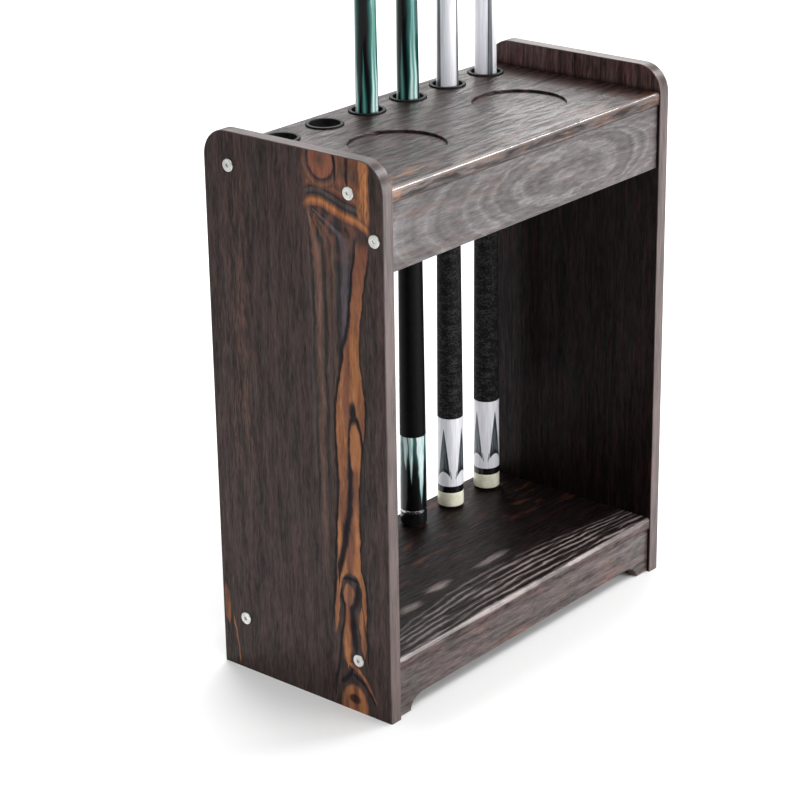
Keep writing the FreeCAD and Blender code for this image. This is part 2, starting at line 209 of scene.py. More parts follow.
class Paint:
    """A procedural material for one kind of surface."""

    def __init__(self, name, roughness=0.5, **constants):
        self.material = bpy.data.materials.new(name)
        self.material.use_nodes = True
        self.tree = self.material.node_tree
        self.shader = self.tree.nodes["Principled BSDF"]
        self.set("Roughness", roughness)
        for key, value in constants.items():        # coat_weight sets "Coat Weight"
            self.set(key.replace("_", " ").title().replace("Ior", "IOR"), value)

    def set(self, name, value):
        feed(self.tree, self.shader.inputs[name], value)

    def place(self):
        """The point's x, y and z in the piece's own frame."""
        coordinates = self.tree.nodes.new("ShaderNodeTexCoord")
        split = self.tree.nodes.new("ShaderNodeSeparateXYZ")
        self.tree.links.new(coordinates.outputs["Object"], split.inputs[0])
        return tuple(Field(self.tree, output) for output in split.outputs)

    def around(self):
        """Turns around the piece's Z axis, from -0.5 to 0.5, and the height."""
        x, y, z = self.place()
        return y.maths("ARCTAN2", x) / (2 * math.pi), z

    def vector(self, x, y, z):
        node = self.tree.nodes.new("ShaderNodeCombineXYZ")
        for socket, value in zip(node.inputs, (x, y, z)):
            feed(self.tree, socket, value)
        return node.outputs[0]

    def noise(self, x, y, z, detail=2.0, roughness=0.5):
        """Cloudy values around 0.5, one lump to each unit of x, y and z."""
        node = self.tree.nodes.new("ShaderNodeTexNoise")
        self.tree.links.new(self.vector(x, y, z), node.inputs["Vector"])
        node.inputs["Scale"].default_value = 1
        node.inputs["Detail"].default_value = detail
        node.inputs["Roughness"].default_value = roughness
        return Field(self.tree, node.outputs["Fac"])

    def speckle(self, size):
        """Cloudy values with round lumps of one size."""
        x, y, z = self.place()
        return self.noise(x / size, y / size, z / size)

    def blend(self, amount, first, second):
        """first where amount is 0, second where it is 1."""
        node = self.tree.nodes.new("ShaderNodeMix")
        node.data_type = "RGBA"
        feed(self.tree, node.inputs[0], amount)
        feed(self.tree, node.inputs[6], first)
        feed(self.tree, node.inputs[7], second)
        return Field(self.tree, node.outputs[2])

    def bands(self, value, stops):
        """Colour bands: stops are (value, colour) pairs in rising order, blended between."""
        first, span = stops[0][0], stops[-1][0] - stops[0][0]
        node = self.tree.nodes.new("ShaderNodeValToRGB")
        elements = node.color_ramp.elements
        while len(elements) < len(stops):
            elements.new(1)
        for element, (start, colour) in zip(elements, stops):
            element.position = (start - first) / span
            element.color = (*colour, 1)
        feed(self.tree, node.inputs[0], (value - first) / span)
        return Field(self.tree, node.outputs[0])

    def scaled(self, colour, strength):
        """The colour made brighter or darker."""
        node = self.tree.nodes.new("ShaderNodeVectorMath")
        node.operation = "SCALE"
        feed(self.tree, node.inputs[0], colour)
        feed(self.tree, node.inputs["Scale"], strength)
        return Field(self.tree, node.outputs[0])

    def relief(self, height, depth):
        """Bumps the surface: height runs from 0 to 1 and stands for depth metres."""
        node = self.tree.nodes.new("ShaderNodeBump")
        node.inputs["Strength"].default_value = 1
        node.inputs["Distance"].default_value = depth
        feed(self.tree, node.inputs["Height"], height)
        self.tree.links.new(node.outputs["Normal"], self.shader.inputs["Normal"])


# ---- Dark laminate boards ----

# Darkest line, dark ground and light ground of the printed grain: the usual ones, then those of
# paler faces, then a lighter, redder copy that is painted light and a darker copy that is painted
# shade.
WOOD_SHADES = (rgb(7, 5, 5), rgb(12, 7, 7), rgb(66, 45, 40))
WOOD_SHADES_PALE = (rgb(24, 19, 19), rgb(28, 23, 23), rgb(94, 82, 81))
# The usual print made lighter and redder: painted light.
WOOD_SHADES_PAINTED_LIGHT = (rgb(20, 12, 12), rgb(36, 24, 24), rgb(108, 84, 82))
# The usual print made darker: painted shade.
WOOD_SHADES_PAINTED_SHADE = (rgb(5, 4, 5), rgb(6, 4, 5), rgb(36, 27, 27))
WOOD_AMBER = rgb(170, 108, 60)
WOOD_AMBER_RED = rgb(124, 72, 50)
WOOD_RUST = rgb(90, 52, 36)
WOOD_TAN = rgb(84, 58, 44)
WOOD_LILAC = rgb(72, 63, 70)
WOOD_LINE = rgb(20, 17, 22)
# A pale colour painted along the boards' rounded front edges as a highlight.
WOOD_PAINTED_HIGHLIGHT = rgb(168, 158, 156)
WOOD_OXBLOOD = rgb(64, 28, 27)


def fibres(paint, along, across, depth):
    """Streaks along the grain from fine to broad, added up to one tone from 0 to 1."""
    fine = paint.noise(across / 0.0015, along / 0.012, depth / 0.0015, 2)
    middle = paint.noise(across / 0.0034, along / 0.03, depth / 0.0034, 3)
    broad = paint.noise(across / 0.011, along / 0.16, depth / 0.011, 2)
    return (fine.step(0.3, 0.7) * 0.35 + middle.step(0.34, 0.66) * 0.4
            + broad.step(0.34, 0.66) * 0.25)


def wavy(paint, along, across, depth):
    """The board's two directions, pushed about a little so that no line is perfectly even."""
    push = paint.noise(along / 0.045, across / 0.02, depth / 0.02 + 7, 2) - 0.5
    shiver = paint.noise(along / 0.012, across / 0.006, depth / 0.006 + 3, 1) - 0.5
    return along, across + push * 0.007 + shiver * 0.003


def ground(paint, tone, along, across, shades):
    """The plain grain, drifting slightly between red-brown and green-grey."""
    _, dark, light = shades
    drift = paint.noise(across / 0.02, along / 0.06, 11, 2).step(0.35, 0.65)
    reddish = tuple(part * tint for part, tint in zip(light, (1.1, 0.94, 0.96)))
    greenish = tuple(part * tint for part, tint in zip(light, (0.92, 0.96, 0.9)))
    return paint.blend(tone, dark, paint.blend(drift, reddish, greenish))


def finish_board(paint, colour, tone, dark_lines, roughness, sheen=1.0, polish_and_painted_highlight=0.0):
    """Pale fibres shine more than dark_lines, which is 1 on one; the last argument is 1 on a shiny
    rounded edge, whose colour it also pales into a painted highlight.
    """
    # Along the rounded edge the colour is paled towards a painted highlight.
    paint.set("Base Color", paint.blend(polish_and_painted_highlight * 0.28, colour, WOOD_PAINTED_HIGHLIGHT))
    paint.set("Roughness", (roughness + dark_lines * 0.1 - tone * 0.06) * (1 - polish_and_painted_highlight * 0.4))
    shine = (tone * 0.3 + 0.25) * (1 - dark_lines * 0.6)
    paint.set("Specular IOR Level", shine * sheen + polish_and_painted_highlight * 0.3)
    paint.relief(tone * 0.7 - dark_lines * 0.4 + 0.3, 0.0003)


# A board's rounded front edge, which is made shinier and given a painted highlight.
def nose_polish_and_painted_highlight(y, z, top):
    """1 along the rounded front edge of a level board whose top is given."""
    return y.step(BOARD_FRONT + 0.0045, BOARD_FRONT + 0.002) * z.step(top - 0.0042, top - 0.0022)


def stroke(along, across, half_width, points):
    """1 on a brush line through (along, across) points, thinning over a fifth at both ends."""
    first, last = points[0][0], points[-1][0]
    taper = (last - first) * 0.2
    body = along.step(first, first + taper) * along.step(last, last - taper)
    reach = (across - along.curve(points)).size()
    return reach.step(body * half_width * 1.5 + 1e-6, body * half_width * 0.3)


def strokes(along, across, lines):
    """Several brush lines, each a half width and its points."""
    marks = [stroke(along, across, half_width, points) for half_width, points in lines]
    total = marks[0]
    for mark in marks[1:]:
        total = total.highest(mark)
    return total


def oval(across, height, middle, size):
    """Distance from an oval's middle, 1 on its outline; size is half its width and height."""
    sideways = ((across - middle[0]) / size[0]).square()
    return (sideways + ((height - middle[1]) / size[1]).square()).root()


# The side panels' figure. Points are (height, depth) on lines that climb a panel and
# (depth, height) on lines that cross it. First the edges, the dark core and the foot of the long
# streak; a brush line in the lists further down is its half width and its points.
STREAK_FRONT = (
    (0.08, -0.087), (0.135, -0.087), (0.17, -0.0805), (0.2, -0.079), (0.25, -0.0805),
    (0.29, -0.0825), (0.33, -0.089), (0.375, -0.086), (0.42, -0.084), (0.45, -0.088),
    (0.5, -0.097), (0.52, -0.1),
)
STREAK_REAR = (
    (0.08, -0.042), (0.13, -0.0445), (0.155, -0.0475), (0.2, -0.049), (0.25, -0.0525),
    (0.325, -0.052), (0.375, -0.058), (0.4, -0.063), (0.425, -0.0705), (0.475, -0.077),
    (0.52, -0.082),
)
STREAK_CORE = (
    (0.135, -0.0485), (0.155, -0.051), (0.175, -0.0555), (0.2, -0.061), (0.25, -0.068),
    (0.32, -0.0665),
)
STREAK_FOOT = (
    (-0.09, 0.075), (-0.081, 0.128), (-0.0775, 0.151), (-0.068, 0.156), (-0.057, 0.152),
    (-0.0515, 0.135), (-0.0475, 0.094), (-0.04, 0.08),
)
HUB = (-0.018, 0.546)       # depth and height where the fan's bands meet
CROWN_LINE = (
    (-0.105, 0.533), (-0.085, 0.545), (-0.068, 0.5485), (-0.05, 0.554), (-0.036, 0.558),
    (-0.015, 0.552),
)
CLIMBING_DARK = (
    (0.0045, ((0.062, -0.0735), (0.087, -0.0685), (0.11, -0.0675), (0.13, -0.074), (0.156, -0.0765))),
    (0.0018, ((0, -0.0405), (0.032, -0.044), (0.087, -0.053), (0.112, -0.0575), (0.135, -0.0525),
              (0.155, -0.056))),
    (0.0013, ((0.05, -0.092), (0.075, -0.0885), (0.12, -0.087), (0.145, -0.0875), (0.165, -0.0815))),
    (0.0022, ((0.566, -0.073), (0.59, -0.0735), (0.62, -0.0735))),
    (0.0016, ((0.567, -0.056), (0.59, -0.0565), (0.62, -0.056))),
)
CROSSING_DARK = (
    (0.0024, ((-0.08, 0.146), (-0.068, 0.1515), (-0.0545, 0.146))),
    (0.0045, ((-0.069, 0.05), (-0.06, 0.038), (-0.049, 0.029))),
    (0.003, ((-0.1, 0.008), (-0.09, 0.026), (-0.077, 0.037), (-0.064, 0.043))),
)
CLIMBING_AMBER = (
    (0.0036, ((0.062, -0.083), (0.085, -0.081), (0.11, -0.0795), (0.125, -0.0805))),
    (0.0048, ((0.045, -0.06), (0.07, -0.0595), (0.095, -0.061), (0.13, -0.0625))),
    (0.0035, ((0.045, 0.111), (0.07, 0.111), (0.095, 0.115))),
    (0.0012, ((0, 0.096), (0.03, 0.099), (0.06, 0.104))),
)
CROSSING_AMBER = (
    (0.003, ((-0.1, 0.014), (-0.085, 0.037), (-0.07, 0.05), (-0.058, 0.054))),
)
# Bands of the fan, by distance in front of the hub, and of the crown, by height over its line.
FAN_BANDS = (
    (0.002, rgb(36, 26, 24)), (0.0055, rgb(74, 58, 56)), (0.0078, WOOD_LINE), (0.0096, WOOD_LINE),
    (0.0115, WOOD_TAN), (0.0155, rgb(116, 84, 72)), (0.019, WOOD_TAN), (0.0212, WOOD_LINE),
    (0.0242, WOOD_LINE), (0.026, WOOD_TAN), (0.0315, rgb(42, 31, 28)), (0.034, rgb(88, 62, 48)),
    (0.038, rgb(48, 39, 37)), (0.0402, WOOD_LINE), (0.0438, WOOD_LINE), (0.046, WOOD_LILAC),
    (0.051, rgb(80, 70, 74)), (0.0545, rgb(40, 36, 43)), (0.0568, WOOD_LINE), (0.061, WOOD_LINE),
    (0.064, rgb(32, 25, 25)),
)
CROWN_BANDS = (
    (-0.0155, WOOD_LINE), (-0.0125, WOOD_AMBER_RED), (-0.008, WOOD_AMBER), (-0.0035, WOOD_RUST),
    (-0.0008, WOOD_LINE), (0.0018, rgb(60, 54, 60)), (0.004, rgb(72, 56, 47)),
    (0.0062, WOOD_LINE), (0.0085, WOOD_RUST), (0.012, WOOD_AMBER_RED), (0.016, WOOD_TAN),
    (0.024, WOOD_AMBER_RED), (0.034, WOOD_TAN), (0.06, WOOD_AMBER_RED),
)
# Bands of the round eye in the crown, by distance from its middle, 1 on its outline.
EYE_BANDS = (
    (0, WOOD_TAN), (0.55, WOOD_AMBER_RED), (0.85, WOOD_AMBER_RED), (0.98, WOOD_LINE),
    (1.12, WOOD_TAN), (1.25, WOOD_AMBER_RED), (1.38, WOOD_TAN), (1.46, WOOD_TAN),
)


def fan_track(height, depth):
    """Distance in front of the hub at which the band through a point meets the lower panel."""
    ahead = (HUB[0] - depth).highest(0.0005)
    drop = (HUB[1] - height).highest(0.0005)
    ray = (ahead / drop).power(0.7) * 0.034
    return ahead.maths("SMOOTH_MAX", ray, 0.008)


def upper_bands(paint, height, depth, tone, plain):
    """The fan below the hub and the crown of arches over it."""
    fan = paint.bands(fan_track(height, depth), FAN_BANDS)
    strength = height.step(0.12, 0.3) * 0.55 + height.step(0.36, 0.5) * 0.4
    in_fan = depth.step(-0.012, -0.024) * depth.step(-0.086, -0.08) * strength
    warmth = paint.noise(height / 0.02, depth / 0.008, 8, 2).step(0.42, 0.62)
    fan = paint.blend(warmth * height.step(0.46, 0.53) * 0.45, fan, WOOD_AMBER_RED)
    colour = paint.blend(in_fan, plain, paint.scaled(fan, tone * 0.8 + 0.6))

    over = height - depth.curve(CROWN_LINE)
    crown = paint.bands(over, CROWN_BANDS)
    patch = depth.step(-0.083, -0.089)
    crown = paint.blend(patch * over.step(-0.006, 0), crown, paint.blend(tone, WOOD_RUST, WOOD_AMBER))
    eye = oval(depth, height, (-0.0385, 0.592), (0.0175, 0.0205))
    crown = paint.blend(eye.step(1.5, 1.4), crown, paint.bands(eye, EYE_BANDS))
    in_crown = over.step(-0.0155, -0.0135) * depth.step(-0.013, -0.024) * depth.step(-0.102, -0.097)
    return paint.blend(in_crown, colour, paint.scaled(crown, tone * 0.9 + 0.5))


def streak_marks(height, depth):
    """Amber and dark parts of the long streak in the front third of the panel."""
    front = height.curve(STREAK_FRONT)
    rear = height.curve(STREAK_REAR)
    within = (depth - front).step(-0.0004, 0.0008) * (rear - depth).step(-0.0004, 0.0012)
    within = within * (height - depth.curve(STREAK_FOOT)).step(-0.001, 0.003)
    within = within * height.step(0.522, 0.505)
    blotch = oval(depth, height, (-0.074, 0.3375), (0.0045, 0.011)).step(1.3, 0.5)
    tongue = oval(depth, height, (-0.0755, 0.298), (0.0085, 0.028))
    arch = (tongue - 1.15).line(0.3) * height.step(0.285, 0.3)
    core = stroke(height, depth, 0.0044, STREAK_CORE) * (1 - tongue.step(1.05, 0.9))
    dark = core.highest(arch).highest(blotch)
    thick = height.step(0.38, 0.395) * height.step(0.425, 0.408)
    edge = (depth - rear - 0.0012).size().step(thick * 0.0022 + 0.0028, 0.0006)
    edge = edge.highest((depth - front + 0.001).line(0.0022) * 0.8)
    edge = edge * height.step(0.085, 0.11) * height.step(0.52, 0.5)
    return within * (1 - dark), dark.highest(edge)


def streaked_wood(paint, height, depth, tone):
    """Colour and dark lines of a side panel's outer face: the streak, the fan and the crown."""
    plain = ground(paint, tone, height, depth, WOOD_SHADES)
    colour = upper_bands(paint, height, depth, tone, plain)
    amber, dark = streak_marks(height, depth)
    amber = amber.highest(strokes(height, depth, CLIMBING_AMBER))
    amber = amber.highest(strokes(depth, height, CROSSING_AMBER))
    amber = amber.highest(oval(depth, height, (-0.063, 0.132), (0.008, 0.0135)).step(1.1, 0.85))
    mound = oval(depth, height, (-0.068, 0.004), (0.019, 0.027))
    amber = amber.highest(mound.step(1.05, 0.85))
    rear_strip = (tone - 0.35).highest(0) * depth.step(0.058, 0.07) * depth.step(0.1, 0.084)
    amber = amber.highest(rear_strip * height.step(0.15, 0.3) * 0.25)
    dark = dark.highest(strokes(height, depth, CLIMBING_DARK))
    dark = dark.highest(strokes(depth, height, CROSSING_DARK))
    dark = dark.highest(oval(depth, height, (-0.068, 0.014), (0.0075, 0.005)).step(1.4, 0.7))
    glow = paint.noise(height / 0.09, depth / 0.012, 4, 2).step(0.35, 0.62)
    warm = paint.blend(glow * height.step(0.5, 0.41), WOOD_AMBER_RED, WOOD_AMBER)
    colour = paint.blend(amber, colour, paint.scaled(warm, tone * 0.65 + 0.5))
    return paint.blend(dark * 0.85, colour, WOOD_LINE), dark


def left_panel_paint():
    paint = Paint("left_panel_wood")
    x, y, z = paint.place()
    height, depth = wavy(paint, z, y, x)
    tone = fibres(paint, height, depth, x)
    colour, dark = streaked_wood(paint, height, depth, tone)
    finish_board(paint, colour, tone, dark, 0.38, 0.6)
    return paint.material


def growth_rings(reach, spacing, half_width):
    """Dark lines of a ring pattern, one to each spacing of reach."""
    return ((reach / spacing).fraction() - 0.5).line(half_width)


def right_panel_paint():
    """Streaked outside; the inner face is painted nearly black as shade inside the rack, and painted
    lighter as light where it stands over the top board.
    """
    paint = Paint("right_panel_wood")
    x, y, z = paint.place()
    height, depth = wavy(paint, z, y, x)
    tone = fibres(paint, height, depth, x)
    outside, dark = streaked_wood(paint, height, depth, tone)
    inner = x.step(PANEL_OUTSIDE, PANEL_OUTSIDE - 0.001)
    # Below the top board the inner face gets painted shade; above it, painted light.
    painted_shade_region = inner * height.step(TOP_BOARD_TOP + 0.006, TOP_BOARD_TOP - 0.002)
    above = ground(paint, tone, height, depth, WOOD_SHADES_PAINTED_LIGHT)
    below = ground(paint, tone, height, depth, WOOD_SHADES_PAINTED_SHADE)
    inside = paint.blend(painted_shade_region, above, below)
    streaks = paint.noise(depth / 0.004, height / 0.08, 3, 2).step(0.55, 0.7)
    inside = paint.blend(streaks * 0.45, inside, WOOD_OXBLOOD)
    furrows = paint.noise(depth / 0.007, height / 0.2, 6, 2).step(0.5, 0.62)
    inside = paint.blend(furrows * 0.6, inside, WOOD_SHADES_PAINTED_SHADE[0])
    colour = paint.blend(inner, outside, inside)
    finish_board(paint, colour, tone, dark * (1 - inner), 0.4, 0.6 - painted_shade_region * 0.35)
    return paint.material


APRON_PALE = rgb(94, 89, 89)
APRON_DULL = rgb(73, 66, 67)
APRON_DARK = rgb(54, 47, 48)
APRON_HEART = (0.06, 0.521)     # x and height
APRON_STRETCH = 3.5             # how much longer than tall the ovals are
# Bands of the ovals, by distance above or below the heart.
APRON_BANDS = (
    (0, APRON_PALE), (0.006, APRON_PALE), (0.0095, APRON_DULL), (0.0125, APRON_DARK),
    (0.0155, APRON_DULL), (0.0185, APRON_DARK), (0.0225, APRON_PALE), (0.026, APRON_PALE),
    (0.0285, APRON_DARK), (0.031, APRON_DULL), (0.0335, APRON_DARK), (0.0365, APRON_PALE),
    (0.0395, APRON_DARK), (0.0425, APRON_PALE), (0.046, APRON_DULL), (0.0495, APRON_PALE),
    (0.053, APRON_DARK), (0.057, APRON_DULL), (0.061, APRON_DARK), (0.066, APRON_PALE),
    (0.072, APRON_DARK), (0.08, APRON_PALE), (0.088, APRON_DARK),
)


def apron_paint():
    """Long flat ovals round one pale heart."""
    paint = Paint("apron_wood")
    x, y, z = paint.place()
    push = paint.noise(x / 0.06, z / 0.02, 2, 2) - 0.5
    ragged = paint.noise(x / 0.014, z / 0.003, 5, 3) - 0.5
    height = z + push * 0.026 + ragged * 0.011
    reach = oval(x, height, APRON_HEART, (APRON_STRETCH, 1))
    tone = fibres(paint, x, z, y)
    fading = paint.noise(x / 0.05, z / 0.015, 8, 2).step(0.32, 0.6) * 0.75 + 0.25
    rings = paint.blend(fading, APRON_DULL, paint.bands(reach, APRON_BANDS))
    threads = growth_rings(reach, 0.0034, 0.3) * paint.noise(x / 0.01, z / 0.002, 3, 2)
    colour = paint.scaled(rings, tone * 0.9 + threads * 0.35 + 0.45)
    spots = paint.noise(x / 0.04, z / 0.008, y / 0.05, 2).step(0.52, 0.7)
    colour = paint.blend(spots * (x.step(0.1, -0.2) * 0.25 + 0.15), colour, WOOD_TAN)
    finish_board(paint, colour, tone, 0, 0.4)
    return paint.material


def level_grain(paint, x, y, z, top):
    """Directions along and across a level board, which run on over its front edge."""
    return wavy(paint, x, y - z + top, 0)


def top_board_paint():
    """Grey-brown with broken dark strokes, amber in patches along its front edge."""
    paint = Paint("top_board_wood")
    x, y, z = paint.place()
    run, depth = level_grain(paint, x, y, z, TOP_BOARD_TOP)
    tone = fibres(paint, run, depth, 0)
    broken = paint.noise(run / 0.035, depth / 0.0055, 2, 3).step(0.46, 0.6)
    plain = ground(paint, tone, run, depth, WOOD_SHADES)
    colour = paint.blend(broken * 0.7, plain, WOOD_SHADES[0])
    patches = paint.noise(run / 0.05, depth / 0.014, 5, 2)
    edge = depth.step(-0.072, -0.096) * (x.step(-0.06, -0.18) * 0.55 + 0.14)
    amber = patches.step(0.45, 0.62) * edge
    amber = amber.highest(patches.step(0.6, 0.75) * x.step(0.05, -0.12) * 0.25)
    colour = paint.blend(amber, colour, paint.blend(tone, WOOD_TAN, WOOD_AMBER))
    # The rounded front edge is made shinier and gets a painted highlight.
    polish_and_painted_highlight = nose_polish_and_painted_highlight(y, z, TOP_BOARD_TOP)
    sheen = paint.noise(run / 0.06, depth / 0.009, 9, 2).step(0.36, 0.62) * 0.9 + 0.85
    finish_board(paint, colour, tone * (1 - broken * 0.6), broken * 0.7, 0.34, sheen, polish_and_painted_highlight)
    return paint.material


SHELF_PALE = rgb(158, 146, 142)
# Middle and half length of the painted highlights between the cues' feet and the bowed lines.
SHELF_PAINTED_HIGHLIGHTS = (((0.025, -0.04), 0.03), ((-0.065, -0.038), 0.022), ((-0.125, -0.047), 0.02))


def shelf_paint():
    """Painted nearly black on top as shade, with pale lines bowed across its front and painted
    highlights between the cues' feet, and a paler front face.
    """
    paint = Paint("shelf_wood")
    x, y, z = paint.place()
    run, depth = level_grain(paint, x, y, z, SHELF_TOP)
    tone = fibres(paint, run, depth, 0)
    # The top is the usual print darkened as painted shade; the front face keeps a paler print.
    plain = ground(paint, tone, run, depth, WOOD_SHADES_PAINTED_SHADE)
    face = y.step(BOARD_FRONT + 0.004, BOARD_FRONT + 0.0025)
    face = face * z.step(SHELF_TOP - 0.001, SHELF_TOP - 0.004)
    plain = paint.blend(face, plain, ground(paint, tone, run, depth, WOOD_SHADES_PALE))
    bow = run.square() * (0.23 + (depth + 0.1).highest(0) * 12)
    line = 1 - growth_rings(depth + bow, 0.0094, 0.5)
    broken = paint.noise(run / 0.06, depth / 0.004, 1, 3).step(0.36, 0.58)
    pale = line.power(2.2) * broken * (depth + bow).step(-0.045, -0.07)
    pale = pale * z.step(SHELF_TOP - 0.008, SHELF_TOP - 0.0012)
    # Pale patches between the cues' feet: painted highlights.
    for middle, length in SHELF_PAINTED_HIGHLIGHTS:
        patch = oval(run, depth, middle, (length, 0.0065)).step(1.3, 0.3)
        pale = pale.highest(patch * (tone * 0.6 + 0.3))
    pale = pale * (x.step(-0.22, 0.02) * 0.35 + 0.5)
    colour = paint.blend(pale, plain, SHELF_PALE)
    flecks = paint.noise(run / 0.04, depth / 0.012, 5, 2).step(0.55, 0.72) * depth.step(-0.04, 0.02)
    colour = paint.blend(flecks * 0.6, colour, WOOD_RUST)
    # The rounded front edge is made shinier and gets a painted highlight.
    polish_and_painted_highlight = nose_polish_and_painted_highlight(y, z, SHELF_TOP)
    finish_board(paint, colour, tone, 0, 0.45, 0.25, polish_and_painted_highlight)
    return paint.material


def kick_board_paint():
    """Paler, with soft arches and a few amber patches."""
    paint = Paint("kick_board_wood")
    x, y, z = paint.place()
    run, depth = level_grain(paint, x, y, z, 0)
    tone = fibres(paint, run, depth, 0)
    reach = depth + (run - 0.1).square() * 0.2
    soft = paint.noise(run / 0.05, depth / 0.012, 0, 2).step(0.35, 0.65)
    dark = growth_rings(reach, 0.012, 0.3) * soft * 0.6
    amber = paint.noise(run / 0.06, depth / 0.02, 5, 2).step(0.52, 0.75) * 0.25
    plain = ground(paint, tone, run, depth, WOOD_SHADES_PALE)
    colour = paint.blend(amber, plain, paint.blend(tone, WOOD_RUST, WOOD_AMBER))
    colour = paint.blend(dark * 0.85, colour, WOOD_SHADES_PALE[0])
    finish_board(paint, colour, tone, dark, 0.34)
    return paint.material


def edge_band_paint():
    """Slightly lighter strips with a short straight grain."""
    paint = Paint("edge_band")
    x, y, z = paint.place()
    streaks = paint.noise(x / 0.0012, (y + z) / 0.03, y / 0.03, 2)
    patches = paint.noise(x / 0.01, z / 0.09, y / 0.09, 1)
    tone = (streaks * 0.6 + patches * 0.5).step(0.35, 0.75)
    paint.set("Base Color", paint.blend(tone, rgb(44, 34, 33), rgb(92, 75, 72)))
    paint.set("Roughness", streaks * 0.2 + 0.28)
    paint.relief(streaks, 0.00012)
    return paint.material


# ---- Small parts ----


def moulded_paint(name, shade, roughness, grain, shine=0.5):
    """Moulded plastic or rubber with a faint texture."""
    paint = Paint(name, roughness, specular_ior_level=shine)
    speck = paint.speckle(grain)
    dust = paint.speckle(0.012)
    paler = tuple(min(1, part * 1.35 + 0.004) for part in shade)
    paint.set("Base Color", paint.blend(dust.step(0.35, 0.7), shade, paler))
    paint.set("Roughness", speck * 0.12 + roughness - 0.06)
    paint.relief(speck, 0.00004)
    return paint.material


def brushed_paint(name, shade, roughness):
    """Metal turned on a lathe, with fine rings and a cloudy shine."""
    paint = Paint(name, roughness, metallic=1.0)
    x, y, z = paint.place()
    rings = paint.noise(z / 0.0003, x / 0.004, y / 0.004, 1)
    cloud = paint.speckle(0.006)
    darker = tuple(part * 0.72 for part in shade)
    paint.set("Base Color", paint.blend(cloud.step(0.3, 0.7), darker, shade))
    paint.set("Roughness", rings * 0.14 + roughness - 0.07)
    paint.relief(rings, 0.00003)
    return paint.material


def beech_paint():
    paint = Paint("beech", 0.55)
    x, y, z = paint.place()
    streaks = paint.noise(x / 0.0007, y / 0.0007, z / 0.008, 2)
    paint.set("Base Color", paint.blend(streaks.step(0.3, 0.7), rgb(188, 150, 104), rgb(222, 190, 146)))
    paint.relief(streaks, 0.0001)
    return paint.material


# ---- Cue finishes ----


def maple_paint():
    """Pale straight-grained shaft wood under a satin finish."""
    paint = Paint("maple", 0.3, coat_weight=0.3, coat_roughness=0.2)
    x, y, z = paint.place()
    streaks = paint.noise(x / 0.0012, y / 0.0012, z / 0.09, 2)
    dashes = paint.noise(x / 0.0005, y / 0.0005, z / 0.006, 1)
    pale = paint.blend(streaks.step(0.3, 0.7), rgb(188, 154, 108), rgb(210, 178, 134))
    paint.set("Base Color", paint.blend(dashes.step(0.66, 0.76) * 0.5, pale, rgb(148, 110, 70)))
    paint.relief(streaks, 0.00003)
    return paint.material


def leather_paint():
    """Smooth black leather with fine pores."""
    paint = Paint("leather_wrap", 0.5, specular_ior_level=0.08)
    x, y, z = paint.place()
    pores = paint.speckle(0.0006)
    creases = paint.noise(x / 0.004, y / 0.004, z / 0.009, 3)
    paint.set("Base Color", paint.blend(creases.step(0.3, 0.7), rgb(4, 4, 5), rgb(11, 11, 12)))
    paint.set("Roughness", creases * 0.2 + 0.4)
    paint.relief(pores * 0.6 + creases * 0.4, 0.00012)
    return paint.material


def linen_paint():
    """Charcoal linen thread wound round the handle, flecked lighter."""
    paint = Paint("linen_wrap", 0.7, specular_ior_level=0.12)
    turn, height = paint.around()
    thread = height / 0.0006 + turn
    lane = thread.whole()
    flecks = paint.noise(turn * 34, lane * 0.37, 0, 1)
    blotches = paint.noise(turn * 7, height / 0.006, 0, 3, 0.65)
    pale = (flecks * 0.6 + blotches * 0.6).step(0.54, 0.76)
    paint.set("Base Color", paint.blend(pale, rgb(13, 13, 13), rgb(52, 53, 52)))
    ridge = 1 - ((thread.fraction() - 0.5) * 2).square()
    paint.relief(ridge * 0.5 + blotches * 0.5, 0.00018)
    return paint.material


def gloss_coat(paint, weight=0.6):
    """Clear lacquer over the colour."""
    paint.set("Specular IOR Level", weight * 0.5)
    paint.set("Coat Weight", weight)
    paint.set("Coat Roughness", 0.04)


TEAL_DEEP = rgb(8, 44, 44)
TEAL = rgb(20, 78, 74)
TEAL_PALE = rgb(104, 160, 152)
FLAME_WHITE = rgb(222, 236, 238)
NIGHT = rgb(6, 6, 9)


def beside(turn, count, shift):
    """From 0 on the middle of the nearest of count marks round the cue to 1 halfway between."""
    return (((turn * count + shift).fraction() - 0.5) * 2).size()


def flame(paint, colour, share, half_width, inner, outer):
    """Paints a flame over a colour: share is 0 on its middle, half_width its reach."""
    colour = paint.blend((half_width - share).step(0, 0.16), colour, outer)
    return paint.blend((half_width * 0.62 - share).step(0, 0.2), colour, inner)


# The teal sleeve's tongues: place round it, length as a share of the sleeve's, and width.
TEAL_TONGUES = ((0.817, 0.46, 0.42), (0.616, 0.66, 0.3), (0.226, 0.93, 0.55))


def teal_sleeve_paint(bottom, top):
    """White and teal tongues, long and short, that hang from the wrap into black."""
    paint = Paint("teal_sleeve", 0.3)
    turn, height = paint.around()
    fall = (top - height) / (top - bottom)
    sway = (paint.noise(turn * 4, height / 0.022, 3, 1) - 0.5) * 0.045
    fine = paint.noise(turn * 30, height / 0.03, 6, 2).step(0.35, 0.65)
    inner = paint.blend(fine * 0.5, FLAME_WHITE, TEAL_PALE)
    inner = paint.blend(fall.step(0.55, 0.9) * 0.7, inner, TEAL_PALE)
    colour = paint.blend(fall.step(0.08, 0.45), TEAL, NIGHT)
    for shift, length, width in TEAL_TONGUES:
        share = beside(turn + sway, 3, shift)
        half_width = (1 - fall / length).highest(0).power(0.7) * width
        colour = paint.blend((half_width - share).step(0, 0.08), colour, TEAL)
        colour = paint.blend((half_width * 0.78 - share).step(0, 0.12), colour, inner)
    paint.set("Base Color", colour)
    gloss_coat(paint, 0.4)
    return paint.material


